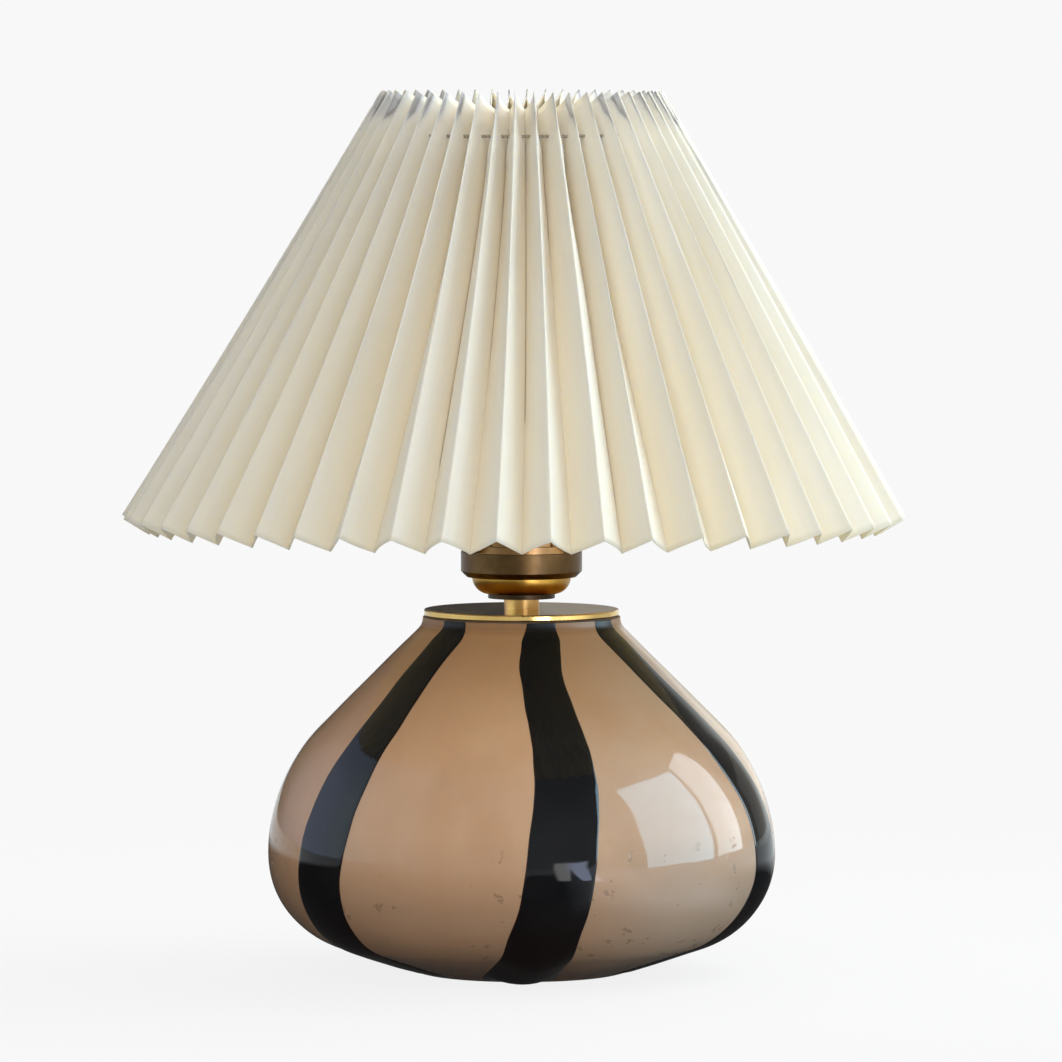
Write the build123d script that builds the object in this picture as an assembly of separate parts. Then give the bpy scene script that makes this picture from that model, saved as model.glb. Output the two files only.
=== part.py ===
from build123d import *
import os
from math import atan2, cos, pi, radians, sin, sqrt

# Units are millimetres. The lamp stands on z = 0 with its axis on Z. Its front faces -Y.

# Glass base, outer outline
BELLY_RADIUS = 97.2
BELLY_HEIGHT = 45.6
SHOULDER_ARC = 68.5
SHOULDER_SLOPE = 45.0
UNDERSIDE_ARC = 36.4
UNDERSIDE_SLOPE = 18.7
NECK_RADIUS = 37.8
NECK_ARC = 6.0
NECK_LIP = 0.3

# Glass base, wall and foot
GLASS_WALL = 4.0
FOOT_FLOOR = 4.6
FOOT_RING_WIDTH = 6.6
PUNT_HEIGHT = 10.0
PUNT_RISE_WIDTH = 13.0
ROD_HOLE_CLEARANCE = 0.6

# Glass stripes, laid in grooves of the outer surface
STRIPE_DEPTH = 1.3
STRIPE_EDGE = 0.25
STRIPE_NECK_WIDTH = 15.0
STRIPE_BELLY_WIDTH = 27.5
STRIPE_FOOT_WIDTH = 22.5
STRIPE_NECK_CROWN = 0.5
STRIPE_BELLY_CROWN = 1.0
STRIPE_FOOT_CROWN = 0.4
STRIPE_LOW_PLACE = 0.91
STRIPE_FOOT_PLACE = 0.985
STRIPE_STEPS = (1, 2, 4, 5, 5, 4)
EDGES_ABOVE_BELLY = 4
STRIPE_ANGLES = (
    (12.0, 9.5, 9.5, 5.5, -1.0),
    (55.0, 64.0, 73.0, 71.0, 66.0),
    (130.0, 133.0, 134.0, 131.0, 128.0),
    (187.0, 190.0, 193.0, 191.0, 188.0),
    (247.0, 246.0, 244.0, 242.0, 241.0),
    (317.5, 313.0, 309.0, 306.5, 304.0),
)
STRIPE_LOW_CROWNS = (4.6, 0.6, 1.6, 2.2, 0.9, 1.0)

# Rod and foot clamp, M10 x 1 lamp pipe
ROD_RADIUS = 5.0
ROD_BORE = 3.4
ROD_BOTTOM = 1.0
ROD_SLOT_HEIGHT = 26.0
ROD_SLOT_WIDTH = 6.2
ROD_SLOT_LENGTH = 14.0
THREAD_CLEARANCE = 0.05
GASKET_THICKNESS = 1.0
CLAMP_PLATE_RADIUS = 17.0
CLAMP_PLATE_THICKNESS = 1.5
LOCK_WASHER_RADIUS = 8.8
LOCK_WASHER_THICKNESS = 0.8
LOCK_WASHER_SLOT = 1.6
NUT_FLATS = 14.0
NUT_HEIGHT = 4.0

# Neck cap and stem
NECK_GASKET_THICKNESS = 0.6
NECK_GASKET_INSET = 0.6
CAP_RADIUS = 37.3
CAP_THICKNESS = 2.4
CAP_SHEET = 1.2
CAP_EDGE_ROUND = 0.5
CAP_RECESS_INSET = 3.0
BUSH_HEIGHT = 9.0
BUSH_CLEARANCE = 0.4
BUSH_WALL = 2.0
STEM_RADIUS = 6.75
STEM_HEIGHT = 4.2
STEM_WASHER_RADIUS = 12.8
STEM_WASHER_THICKNESS = 1.8

# Lampholder
CUP_FOOT_RADIUS = 14.0
CUP_RADIUS = 18.9
CUP_BOWL_HEIGHT = 6.4
CUP_COLLAR_HEIGHT = 4.6
CUP_WALL = 1.0
CUP_BULGE = 1.4
CUP_HUB_RADIUS = 8.0
CUP_HUB_HEIGHT = 7.5
SLEEVE_RADIUS = 20.0
SLEEVE_HEIGHT = 48.5
SLEEVE_WALL = 1.0
SLEEVE_LIP = 4.0
BAND_RADIUS = 23.2
BAND_HEIGHT = 9.6
BAND_CHAMFER = 2.2
RING_CLEARANCE = 0.1
GRIP_RING_RADIUS = 22.4
GRIP_RING_HEIGHT = 9.0
GRIP_NOTCHES = 12
GRIP_NOTCH_WIDTH = 1.6
GRIP_NOTCH_DEPTH = 0.9
CORE_CLEARANCE = 0.2
CORE_FLOOR = 5.0
CORE_FLOOR_DROP = 24.0
CORE_POCKET_WALL = 3.2
SOCKET_RADIUS = 13.35
SOCKET_WALL = 0.35
SOCKET_FIT = 0.1
SOCKET_RAISE = 2.2
SOCKET_TOP_INSET = 1.0
CONTACT_OFFSET = 9.0
CONTACT_WIDTH = 6.0
CONTACT_THICKNESS = 0.6
CONTACT_RISE = 2.0
CONTACT_FLAT = 2.0
RIVET_RADIUS = 1.4
TERMINAL_LENGTH = 7.0
TERMINAL_WIDTH = 6.0
TERMINAL_HEIGHT = 7.0
TERMINAL_WIRE_RADIUS = 1.2
TERMINAL_WIRE_HEIGHT = 3.85
TERMINAL_SCREW_RADIUS = 1.25
TERMINAL_HEAD_RADIUS = 2.2
TERMINAL_HEAD_HEIGHT = 1.4
TERMINAL_SLOT_WIDTH = 0.6
TERMINAL_SLOT_DEPTH = 0.7

# Bulb, E27 cap and 60 mm globe
BULB_SEAT = 0.05
BUTTON_RADIUS = 4.6
BUTTON_HEIGHT = 1.4
BUTTON_DOME = 0.5
INSULATOR_HEIGHT = 3.6
INSULATOR_RIM = 2.0
INSULATOR_INSET = 1.0
BULB_CAP_RADIUS = 12.1
BULB_CAP_LENGTH = 22.0
BULB_CAP_WALL = 0.4
THREAD_PITCH = 3.629
THREAD_CREST = 13.05
THREAD_TURNS = 4.0
THREAD_RIDGE_HALF = 1.1
GLOBE_RADIUS = 30.0
GLOBE_LENGTH = 80.0
GLOBE_WALL = 0.9
GLOBE_NECK_RADIUS = 12.9
GLOBE_FLARE = 40.0

# Shade carrier, wire and ring
FITTER_RADIUS = 23.0
FITTER_THICKNESS = 2.6
FITTER_PLAY = 0.2
ARM_COUNT = 4
ARM_START_ANGLE = 45.0
ARM_RADIUS = 1.1
ARM_REACH = 9.0
ARM_BEND = 7.0
CARRIER_RING_WIRE = 1.5
CARRIER_RING_DROP = 37.4
CARRIER_PLAY = 0.3

# Pleated shade
PLEATS = 48
SHADE_TOP_HEIGHT = 337.4
SHADE_TOP_RADIUS = 53.6
SHADE_BOTTOM_HEIGHT = 174.6
SHADE_BOTTOM_RADIUS = 150.0
PLEAT_WIDTH = 14.9
SHEET_THICKNESS = 0.4
GATHER_DROP = 16.8
GATHER_CORD_RADIUS = 0.6
GATHER_HOLE_RADIUS = 0.95

# Cord inlet low at the back of the glass
INLET_ANGLE = 160.0
INLET_DROP = 32.0
INLET_BORE = 3.4
INLET_SLEEVE_WALL = 1.4
INLET_CLEARANCE = 0.1
INLET_FLANGE_RADIUS = 7.5
INLET_FLANGE_THICKNESS = 2.0
INLET_CLIP_RADIUS = 5.8
INLET_CLIP_THICKNESS = 1.6


def at(radius, z):
    """A point of a turned outline, in the plane of X and Z."""
    return Vector(radius, 0, z)


def turned(*edges):
    """A solid of revolution from the closed outline that the edges make."""
    return revolve(make_face(Wire(edges)), Axis.Z)


def turned_polygon(*points):
    """A solid of revolution from the corners of its section, as radius and height."""
    corners = [at(radius, z) for radius, z in points]
    return revolve(make_face(Polyline(*corners, close=True)), Axis.Z)


def ring(outer, inner, bottom, height):
    """A flat or tall ring on the axis."""
    top = bottom + height
    return turned_polygon((inner, bottom), (outer, bottom), (outer, top), (inner, top))


def bulged_arc(start, end, bulge):
    """An arc of an outline that stands out from its chord by the bulge."""
    chord = end - start
    outward = Vector(chord.Z, 0, -chord.X).normalized()
    return ThreePointArc(start, (start + end) * 0.5 + outward * bulge, end)


def disc(radius, bottom, height, x=0.0):
    """An upright cylinder that stands on the height given."""
    return Pos(x, 0, bottom) * Cylinder(radius, height, align=(Align.CENTER, Align.CENTER, Align.MIN))


def block(length, width, height, x, y, bottom):
    """An upright box that stands on the height given."""
    return Pos(x, y, bottom) * Box(length, width, height, align=(Align.CENTER, Align.CENTER, Align.MIN))


# Outline of the glass, worked out from its tangent arcs and lines

SHOULDER_NORMAL = (sin(radians(SHOULDER_SLOPE)), cos(radians(SHOULDER_SLOPE)))
UNDERSIDE_NORMAL = (sin(radians(UNDERSIDE_SLOPE)), -cos(radians(UNDERSIDE_SLOPE)))
SHOULDER_CENTRE = (BELLY_RADIUS - SHOULDER_ARC, BELLY_HEIGHT)
UNDERSIDE_CENTRE = (BELLY_RADIUS - UNDERSIDE_ARC, BELLY_HEIGHT)


def neck_centre():
    """Centre of the hollow arc that turns the shoulder into the neck."""
    radius = NECK_RADIUS + NECK_ARC
    reach = SHOULDER_ARC + NECK_ARC - (radius - SHOULDER_CENTRE[0]) * SHOULDER_NORMAL[0]
    return radius, SHOULDER_CENTRE[1] + reach / SHOULDER_NORMAL[1]


def from_centre(centre, normal, distance):
    """The point of an outline at a distance from an arc's centre, along a normal."""
    return at(centre[0] + normal[0] * distance, centre[1] + normal[1] * distance)


def arc_about(centre, distance, first, last):
    """An arc of an outline about a centre, between two unit normals."""
    middle = (first[0] + last[0], first[1] + last[1])
    length = sqrt(middle[0] ** 2 + middle[1] ** 2)
    half = (middle[0] / length, middle[1] / length)
    ends = [from_centre(centre, normal, distance) for normal in (first, half, last)]
    return ThreePointArc(*ends)


def underside_radius(z, depth):
    """Radius of the straight underside at a height, at a depth inside the outer surface."""
    rise = (UNDERSIDE_ARC - depth) + (z - BELLY_HEIGHT) * -UNDERSIDE_NORMAL[1]
    return UNDERSIDE_CENTRE[0] + rise / UNDERSIDE_NORMAL[0]


def outline(depth, top, bottom):
    """Edges from the neck's top down to the bottom height, at a depth inside the outer surface."""
    outward = (1.0, 0.0)
    inward_normal = (-SHOULDER_NORMAL[0], -SHOULDER_NORMAL[1])
    neck = arc_about(neck_centre(), NECK_ARC + depth, (-1.0, 0.0), inward_normal)
    shoulder = arc_about(SHOULDER_CENTRE, SHOULDER_ARC - depth, SHOULDER_NORMAL, outward)
    underside = arc_about(UNDERSIDE_CENTRE, UNDERSIDE_ARC - depth, outward, UNDERSIDE_NORMAL)
    return [
        Line(at(NECK_RADIUS - depth, top), neck @ 0),
        neck,
        Line(neck @ 1, shoulder @ 0),
        shoulder,
        underside,
        Line(underside @ 1, at(underside_radius(bottom, depth), bottom)),
    ]


GLASS_TOP = neck_centre()[1] + NECK_LIP
FOOT_RADIUS = underside_radius(0.0, 0.0)
FOOT_INNER = FOOT_RADIUS - FOOT_RING_WIDTH
PUNT_RADIUS = FOOT_INNER - PUNT_RISE_WIDTH
ROD_HOLE = ROD_RADIUS + ROD_HOLE_CLEARANCE


# Heights of the stack that the rod clamps

CAP_BOTTOM = GLASS_TOP + NECK_GASKET_THICKNESS
CAP_TOP = CAP_BOTTOM + CAP_THICKNESS
STEM_TOP = CAP_TOP + STEM_HEIGHT
HOLDER_BOTTOM = STEM_TOP + STEM_WASHER_THICKNESS
BOWL_TOP = HOLDER_BOTTOM + CUP_BOWL_HEIGHT
COLLAR_TOP = BOWL_TOP + CUP_COLLAR_HEIGHT
SLEEVE_TOP = BOWL_TOP + SLEEVE_HEIGHT
BAND_TOP = BOWL_TOP + BAND_HEIGHT
FITTER_BOTTOM = BAND_TOP + FITTER_PLAY
FITTER_TOP = FITTER_BOTTOM + FITTER_THICKNESS
GRIP_RING_BOTTOM = FITTER_TOP + FITTER_PLAY
ROD_TOP = HOLDER_BOTTOM + CUP_HUB_HEIGHT
SLEEVE_INNER = SLEEVE_RADIUS - SLEEVE_WALL
CORE_RADIUS = SLEEVE_INNER - CORE_CLEARANCE
CORE_TOP = SLEEVE_TOP - SLEEVE_WALL
CORE_FLOOR_TOP = CORE_TOP - CORE_FLOOR_DROP
CORE_FLOOR_BOTTOM = CORE_FLOOR_TOP - CORE_FLOOR
SOCKET_OUTER = SOCKET_RADIUS + SOCKET_WALL
SOCKET_BOTTOM = CORE_FLOOR_TOP + SOCKET_RAISE
CONTACT_TOP = CORE_FLOOR_TOP + CONTACT_RISE + CONTACT_THICKNESS
BUTTON_BOTTOM = CONTACT_TOP + BULB_SEAT
BUTTON_TOP = BUTTON_BOTTOM + BUTTON_HEIGHT
BULB_CAP_BOTTOM = BUTTON_TOP + INSULATOR_HEIGHT
BULB_CAP_TOP = BULB_CAP_BOTTOM + BULB_CAP_LENGTH


# Glass base


def glass_blank():
    """The blown base before its grooves: hollow, with a pushed-up foot that the rod passes."""
    outer = outline(0.0, GLASS_TOP, 0.0)
    inner = outline(GLASS_WALL, GLASS_TOP, FOOT_FLOOR)
    punt_top = PUNT_HEIGHT + GLASS_WALL
    foot = Polyline(
        at(FOOT_RADIUS, 0),
        at(FOOT_INNER, 0),
        at(PUNT_RADIUS, PUNT_HEIGHT),
        at(ROD_HOLE, PUNT_HEIGHT),
        at(ROD_HOLE, punt_top),
        at(PUNT_RADIUS, punt_top),
        at(FOOT_INNER, FOOT_FLOOR),
        at(underside_radius(FOOT_FLOOR, GLASS_WALL), FOOT_FLOOR),
    )
    rim = Line(at(NECK_RADIUS, GLASS_TOP), at(NECK_RADIUS - GLASS_WALL, GLASS_TOP))
    return turned(*outer, *foot.edges(), *inner, rim)


def smooth_through(values, place):
    """Value of the one smooth curve that passes through evenly spaced values, from place 0 to 1."""
    steps = len(values) - 1
    total = 0.0
    for index, value in enumerate(values):
        weight = 1.0
        for other in range(len(values)):
            if other != index:
                weight *= (place * steps - other) / (index - other)
        total += value * weight
    return total


def stripe_section(path, place, angle, width, crown):
    """Section of a stripe across its run: a flat-sided strip with a rounded face."""
    foot = path.position_at(place)
    along = path.tangent_at(place)
    normal = Vector(-along.Z, 0, along.X)
    plane = Plane(origin=foot, x_dir=Vector(0, 1, 0), z_dir=along)
    half = width / 2
    drop = half**2 * normal.X / foot.X / 2
    up = 1 if plane.y_dir.dot(normal) > 0 else -1
    left_top = (-half, up * (STRIPE_EDGE - drop))
    right_top = (half, up * (STRIPE_EDGE - drop))
    left_low = (-half, up * (-STRIPE_DEPTH - drop))
    right_low = (half, up * (-STRIPE_DEPTH - drop))
    edges = [
        ThreePointArc(left_top, (0, up * crown), right_top),
        Line(right_top, right_low),
        ThreePointArc(right_low, (0, up * -STRIPE_DEPTH), left_low),
        Line(left_low, left_top),
    ]
    section = plane * make_face(Wire(edges))
    return Rot(0, 0, angle - 90) * section


def stripe_places(edges):
    """Places of the sections along the outline, as shares of its length."""
    total = sum(edge.length for edge in edges)
    places = [0.0]
    start = 0.0
    for edge, steps in zip(edges, STRIPE_STEPS):
        places += [(start + edge.length * (step + 1) / steps) / total for step in range(steps)]
        start += edge.length
    places[-1] = STRIPE_FOOT_PLACE
    return places


def eased(first, last, share):
    """Value between two ends that leaves and arrives level."""
    held = min(max(share, 0.0), 1.0)
    return first + (last - first) * held**2 * (3 - 2 * held)


def stripe_width(place, belly):
    if place < belly:
        return eased(STRIPE_NECK_WIDTH, STRIPE_BELLY_WIDTH, place / belly)
    share = (place - belly) / (1 - belly)
    return STRIPE_BELLY_WIDTH + (STRIPE_FOOT_WIDTH - STRIPE_BELLY_WIDTH) * share**2


def stripe_crown(place, belly, low_crown):
    """Height of the rounded face, with its own value low on the underside, where the glass sagged."""
    if place < belly:
        return eased(STRIPE_NECK_CROWN, STRIPE_BELLY_CROWN, place / belly)
    if place < STRIPE_LOW_PLACE:
        return eased(STRIPE_BELLY_CROWN, low_crown, (place - belly) / (STRIPE_LOW_PLACE - belly))
    share = (place - STRIPE_LOW_PLACE) / (STRIPE_FOOT_PLACE - STRIPE_LOW_PLACE)
    return eased(low_crown, STRIPE_FOOT_CROWN, share)


def stripe(angles, low_crown):
    """One trail of glass that runs from the neck over the belly to the foot."""
    edges = outline(0.0, GLASS_TOP, 0.0)
    path = Wire(edges)
    belly = sum(edge.length for edge in edges[:EDGES_ABOVE_BELLY]) / path.length
    sections = [
        stripe_section(
            path,
            place,
            smooth_through(angles, place),
            stripe_width(place, belly),
            stripe_crown(place, belly, low_crown),
        )
        for place in stripe_places(edges)
    ]
    return loft(sections)


def inlet_place():
    """Place on the glass at the cord inlet, looking out along the surface's normal."""
    normal = (cos(radians(INLET_DROP)), -sin(radians(INLET_DROP)))
    foot = from_centre(UNDERSIDE_CENTRE, normal, UNDERSIDE_ARC)
    out = Plane(origin=foot, x_dir=Vector(0, 1, 0), z_dir=Vector(normal[0], 0, normal[1]))
    return Rot(0, 0, INLET_ANGLE - 90) * out.location


def glass_body(stripes):
    """The base with its stripe grooves and the drilled cord inlet."""
    hole = INLET_BORE + INLET_SLEEVE_WALL + INLET_CLEARANCE
    drill = inlet_place() * Cylinder(hole, 4 * GLASS_WALL)
    body = glass_blank() - drill
    for trail in stripes:
        body = body - trail
    return body


def cord_inlet_bush(glass):
    """Soft bush through the glass, whose flange and clip follow the curved wall."""
    place = inlet_place()
    outer = INLET_BORE + INLET_SLEEVE_WALL
    inside = -GLASS_WALL - INLET_CLIP_THICKNESS
    length = INLET_FLANGE_THICKNESS - inside
    sleeve = place * Pos(0, 0, inside + length / 2) * Cylinder(outer, length)
    flange = place * Cylinder(INLET_FLANGE_RADIUS, 2 * INLET_FLANGE_THICKNESS)
    clip = place * Pos(0, 0, -GLASS_WALL) * Cylinder(INLET_CLIP_RADIUS, 2 * INLET_CLIP_THICKNESS)
    bore = place * Cylinder(INLET_BORE, 4 * length)
    return sleeve + (flange + clip - glass).solids() - bore


# Rod and the clamp under the foot


def threaded_rod():
    """Hollow rod with a slot in its side where the cord goes in."""
    height = ROD_TOP - ROD_BOTTOM
    slot = Pos(0, 0, ROD_SLOT_HEIGHT) * Rot(0, 0, INLET_ANGLE - 90) * Rot(0, 90, 0) * SlotOverall(
        ROD_SLOT_LENGTH, ROD_SLOT_WIDTH
    )
    return ring(ROD_RADIUS, ROD_BORE, ROD_BOTTOM, height) - extrude(slot, 2 * ROD_RADIUS)


def foot_gasket():
    bottom = PUNT_HEIGHT - GASKET_THICKNESS
    return ring(CLAMP_PLATE_RADIUS, ROD_RADIUS + RING_CLEARANCE, bottom, GASKET_THICKNESS)


CLAMP_PLATE_BOTTOM = PUNT_HEIGHT - GASKET_THICKNESS - CLAMP_PLATE_THICKNESS
LOCK_WASHER_BOTTOM = CLAMP_PLATE_BOTTOM - LOCK_WASHER_THICKNESS
NUT_BOTTOM = LOCK_WASHER_BOTTOM - NUT_HEIGHT


def clamp_plate():
    return ring(CLAMP_PLATE_RADIUS, ROD_RADIUS + RING_CLEARANCE, CLAMP_PLATE_BOTTOM, CLAMP_PLATE_THICKNESS)


def lock_washer():
    """Split washer under the nut."""
    washer = ring(
        LOCK_WASHER_RADIUS, ROD_RADIUS + RING_CLEARANCE, LOCK_WASHER_BOTTOM, LOCK_WASHER_THICKNESS
    )
    split = block(
        LOCK_WASHER_RADIUS,
        LOCK_WASHER_SLOT,
        LOCK_WASHER_THICKNESS,
        ROD_RADIUS + LOCK_WASHER_RADIUS / 2,
        0,
        LOCK_WASHER_BOTTOM,
    )
    return washer - split


def rod_nut():
    """Hexagon nut, its corners rounded off on the free side."""
    across_corners = NUT_FLATS / cos(radians(30)) / 2
    hexagon = extrude(Pos(0, 0, NUT_BOTTOM) * RegularPolygon(across_corners, 6), NUT_HEIGHT)
    bevel = turned_polygon(
        (0, NUT_BOTTOM),
        (NUT_FLATS / 2, NUT_BOTTOM),
        (across_corners, NUT_BOTTOM + (across_corners - NUT_FLATS / 2) / 2),
        (across_corners, NUT_BOTTOM + NUT_HEIGHT),
        (0, NUT_BOTTOM + NUT_HEIGHT),
    )
    bore = disc(ROD_RADIUS + THREAD_CLEARANCE, NUT_BOTTOM, NUT_HEIGHT)
    return (hexagon & bevel) - bore


# Cap over the neck, with the stem that carries the lampholder


def neck_gasket():
    outer = NECK_RADIUS - NECK_GASKET_INSET
    inner = NECK_RADIUS - GLASS_WALL + NECK_GASKET_INSET
    return ring(outer, inner, GLASS_TOP, NECK_GASKET_THICKNESS)


def vase_cap():
    """Spun disc with a thick rim and a recessed underside."""
    recess = CAP_RADIUS - CAP_RECESS_INSET - GLASS_WALL
    section = make_face(
        Polyline(
            at(ROD_RADIUS + RING_CLEARANCE, CAP_TOP),
            at(CAP_RADIUS, CAP_TOP),
            at(CAP_RADIUS, CAP_BOTTOM),
            at(recess, CAP_BOTTOM),
            at(recess, CAP_TOP - CAP_SHEET),
            at(ROD_RADIUS + RING_CLEARANCE, CAP_TOP - CAP_SHEET),
            close=True,
        )
    )
    rim = section.vertices().sort_by(Axis.X)[-2:]
    return revolve(fillet(rim, CAP_EDGE_ROUND), Axis.Z)


def neck_bush():
    """Cup that hangs in the neck under the cap and keeps the rod on the axis."""
    radius = CAP_RADIUS - CAP_RECESS_INSET - GLASS_WALL - BUSH_CLEARANCE
    top = CAP_TOP - CAP_SHEET
    bottom = GLASS_TOP - BUSH_HEIGHT
    hole = ROD_RADIUS + RING_CLEARANCE
    return turned_polygon(
        (hole, top - BUSH_WALL),
        (hole, top),
        (radius, top),
        (radius, bottom),
        (radius - BUSH_WALL, bottom),
        (radius - BUSH_WALL, top - BUSH_WALL),
    )


def stem_tube():
    return ring(STEM_RADIUS, ROD_RADIUS + RING_CLEARANCE, CAP_TOP, STEM_HEIGHT)


def stem_washer():
    return ring(STEM_WASHER_RADIUS, ROD_RADIUS + RING_CLEARANCE, STEM_TOP, STEM_WASHER_THICKNESS)


# Lampholder


def lampholder_cup():
    """Lower cup: a rounded bowl with a collar above it and a threaded hub inside."""
    bore = ROD_RADIUS + THREAD_CLEARANCE
    inner_foot = CUP_FOOT_RADIUS - CUP_WALL
    inner = CUP_RADIUS - CUP_WALL
    floor = HOLDER_BOTTOM + CUP_WALL
    return turned(
        Line(at(bore, HOLDER_BOTTOM), at(CUP_FOOT_RADIUS, HOLDER_BOTTOM)),
        bulged_arc(at(CUP_FOOT_RADIUS, HOLDER_BOTTOM), at(CUP_RADIUS, BOWL_TOP), CUP_BULGE),
        Line(at(CUP_RADIUS, BOWL_TOP), at(CUP_RADIUS, COLLAR_TOP)),
        Line(at(CUP_RADIUS, COLLAR_TOP), at(inner, COLLAR_TOP)),
        Line(at(inner, COLLAR_TOP), at(inner, BOWL_TOP)),
        bulged_arc(at(inner_foot, floor), at(inner, BOWL_TOP), CUP_BULGE),
        Line(at(inner_foot, floor), at(CUP_HUB_RADIUS, floor)),
        Line(at(CUP_HUB_RADIUS, floor), at(CUP_HUB_RADIUS, ROD_TOP)),
        Line(at(CUP_HUB_RADIUS, ROD_TOP), at(bore, ROD_TOP)),
        Line(at(bore, ROD_TOP), at(bore, HOLDER_BOTTOM)),
    )


def lampholder_sleeve():
    """Upper sleeve, with a lip that holds the core down."""
    lip = SLEEVE_RADIUS - SLEEVE_LIP
    return turned_polygon(
        (SLEEVE_INNER, BOWL_TOP),
        (SLEEVE_RADIUS, BOWL_TOP),
        (SLEEVE_RADIUS, SLEEVE_TOP),
        (lip, SLEEVE_TOP),
        (lip, CORE_TOP),
        (SLEEVE_INNER, CORE_TOP),
    )


def holder_band():
    """Wide lower ring on the sleeve, chamfered below."""
    inner = SLEEVE_RADIUS + RING_CLEARANCE
    return turned_polygon(
        (inner, BOWL_TOP),
        (BAND_RADIUS - BAND_CHAMFER, BOWL_TOP),
        (BAND_RADIUS, BOWL_TOP + BAND_CHAMFER),
        (BAND_RADIUS, BAND_TOP),
        (inner, BAND_TOP),
    )


def grip_ring():
    """Upper ring that keeps the shade carrier down, notched all round for the fingers."""
    body = ring(GRIP_RING_RADIUS, SLEEVE_RADIUS + RING_CLEARANCE, GRIP_RING_BOTTOM, GRIP_RING_HEIGHT)
    notch = block(
        2 * GRIP_NOTCH_DEPTH, GRIP_NOTCH_WIDTH, GRIP_RING_HEIGHT, GRIP_RING_RADIUS, 0, GRIP_RING_BOTTOM
    )
    for number in range(GRIP_NOTCHES):
        body = body - Rot(0, 0, 360 / GRIP_NOTCHES * number) * notch
    return body


def lampholder_core():
    """Ceramic core: a socket above the floor and a terminal pocket below it."""
    pocket = CORE_RADIUS - CORE_POCKET_WALL
    cavity = SOCKET_OUTER + SOCKET_FIT
    body = turned_polygon(
        (0, CORE_FLOOR_BOTTOM),
        (pocket, CORE_FLOOR_BOTTOM),
        (pocket, COLLAR_TOP),
        (CORE_RADIUS, COLLAR_TOP),
        (CORE_RADIUS, CORE_TOP),
        (cavity, CORE_TOP),
        (cavity, CORE_FLOOR_TOP),
        (0, CORE_FLOOR_TOP),
    )
    for side in (-1, 1):
        body = body - disc(RIVET_RADIUS, CORE_FLOOR_BOTTOM, CORE_FLOOR, side * CONTACT_OFFSET)
    return body


def screw_shell():
    """Thin shell that takes the bulb's thread, with the strap to its terminal."""
    height = CORE_TOP - SOCKET_TOP_INSET - SOCKET_BOTTOM
    shell = ring(SOCKET_OUTER, SOCKET_RADIUS, SOCKET_BOTTOM, height)
    reach = SOCKET_OUTER - CONTACT_OFFSET + RIVET_RADIUS
    middle = -(SOCKET_OUTER + CONTACT_OFFSET - RIVET_RADIUS) / 2
    strap = block(reach, CONTACT_WIDTH, CONTACT_THICKNESS, middle, 0, CORE_FLOOR_TOP)
    riser = block(
        2 * CONTACT_THICKNESS,
        CONTACT_WIDTH,
        SOCKET_RAISE + SOCKET_WALL,
        -SOCKET_OUTER + CONTACT_THICKNESS,
        0,
        CORE_FLOOR_TOP,
    )
    reach_limit = disc(SOCKET_OUTER, CORE_FLOOR_TOP, height)
    return shell + ((strap + riser) & reach_limit)


def centre_contact():
    """Springy tongue that rises from its rivet to the middle of the socket."""
    end = CONTACT_OFFSET + RIVET_RADIUS
    bend = CONTACT_OFFSET - CONTACT_FLAT
    slant = CONTACT_THICKNESS / 2
    low = CORE_FLOOR_TOP
    high = CORE_FLOOR_TOP + CONTACT_RISE
    side = Plane.XZ.offset(-CONTACT_WIDTH / 2)
    tongue = Polyline(
        (-CONTACT_FLAT, high),
        (CONTACT_FLAT, high),
        (bend, low),
        (end, low),
        (end, low + CONTACT_THICKNESS),
        (bend + slant, low + CONTACT_THICKNESS),
        (CONTACT_FLAT + slant, high + CONTACT_THICKNESS),
        (-CONTACT_FLAT, high + CONTACT_THICKNESS),
        close=True,
    )
    return extrude(side * make_face(tongue), CONTACT_WIDTH)


def contact_rivets():
    """Two rivets through the core's floor, from the contacts to the terminals."""
    return [
        disc(RIVET_RADIUS, CORE_FLOOR_BOTTOM, CORE_FLOOR, side * CONTACT_OFFSET)
        for side in (-1, 1)
    ]


def terminal_blocks():
    """Two brass terminals under the floor, each with a wire hole and a screw hole."""
    bottom = CORE_FLOOR_BOTTOM - TERMINAL_HEIGHT
    blocks = []
    for side in (-1, 1):
        body = block(TERMINAL_LENGTH, TERMINAL_WIDTH, TERMINAL_HEIGHT, side * CONTACT_OFFSET, 0, bottom)
        wire = Pos(side * CONTACT_OFFSET, 0, bottom + TERMINAL_WIRE_HEIGHT) * Rot(90, 0, 0)
        body = body - wire * Cylinder(TERMINAL_WIRE_RADIUS, 2 * TERMINAL_WIDTH)
        body = body - disc(
            TERMINAL_SCREW_RADIUS + THREAD_CLEARANCE,
            bottom,
            TERMINAL_WIRE_HEIGHT - TERMINAL_WIRE_RADIUS / 2,
            side * CONTACT_OFFSET,
        )
        blocks.append(body)
    return blocks


def terminal_screws():
    """Cheese-head screws that close the terminals from below."""
    bottom = CORE_FLOOR_BOTTOM - TERMINAL_HEIGHT
    screws = []
    for side in (-1, 1):
        x = side * CONTACT_OFFSET
        head_bottom = bottom - TERMINAL_HEAD_HEIGHT
        head = disc(TERMINAL_HEAD_RADIUS, head_bottom, TERMINAL_HEAD_HEIGHT, x)
        slot = block(
            3 * TERMINAL_HEAD_RADIUS, TERMINAL_SLOT_WIDTH, TERMINAL_SLOT_DEPTH, x, 0, head_bottom
        )
        shank = disc(TERMINAL_SCREW_RADIUS, bottom, TERMINAL_WIRE_HEIGHT - TERMINAL_WIRE_RADIUS, x)
        screws.append(head + shank - slot)
    return screws


# Bulb


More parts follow.
